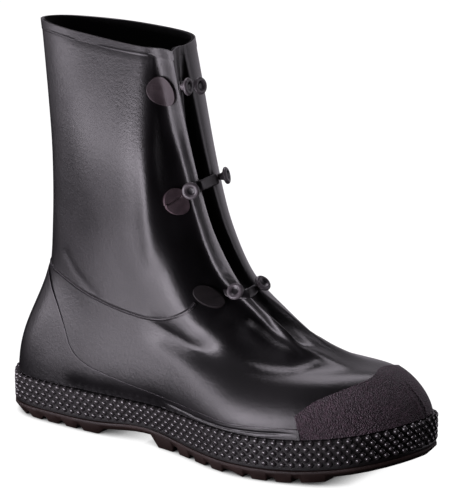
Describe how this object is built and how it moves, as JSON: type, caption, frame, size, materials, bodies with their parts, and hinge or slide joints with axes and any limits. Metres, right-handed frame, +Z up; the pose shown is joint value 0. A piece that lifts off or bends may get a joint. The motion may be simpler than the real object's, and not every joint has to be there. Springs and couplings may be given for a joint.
{
  "type": "buttoned rubber overboot",
  "caption": "Black rubber overboot worn over a shoe: folded front gusset held by button straps, pebbled toe cap, studded side band and a cleated sole with a low heel.",
  "frame": {"origin": "on the floor, under the middle of the boot's box", "axes": "+X from heel to toe, +Y to the wearer's left (inner side of the foot), +Z up"},
  "size_m": [0.3266, 0.1198, 0.2755],
  "materials": {
    "upper_rubber": "satin moulded rubber with fine grain",
    "sole_rubber": "dull moulded rubber",
    "cap_rubber": "pebbled dull rubber",
    "button_rubber": "smooth satin rubber",
    "insole_sheet": "matt rubber sheet"
  },
  "bodies": {
    "root": {"upper": "upper_rubber", "counter_foxing": "upper_rubber", "quarter_lip": "upper_rubber", "collar_band": "upper_rubber", "outsole": "sole_rubber", "foxing_band": "sole_rubber", "toe_cap": "cap_rubber", "insole": "insole_sheet", "anchor_disc_1": "button_rubber", "strap_1": "button_rubber", "near_stud_1": "button_rubber", "far_stud_1": "button_rubber", "anchor_disc_2": "button_rubber", "strap_2": "button_rubber", "near_stud_2": "button_rubber", "far_stud_2": "button_rubber", "anchor_disc_3": "button_rubber", "strap_3": "button_rubber", "near_stud_3": "button_rubber", "far_stud_3": "button_rubber"}
  },
  "joints": []
}
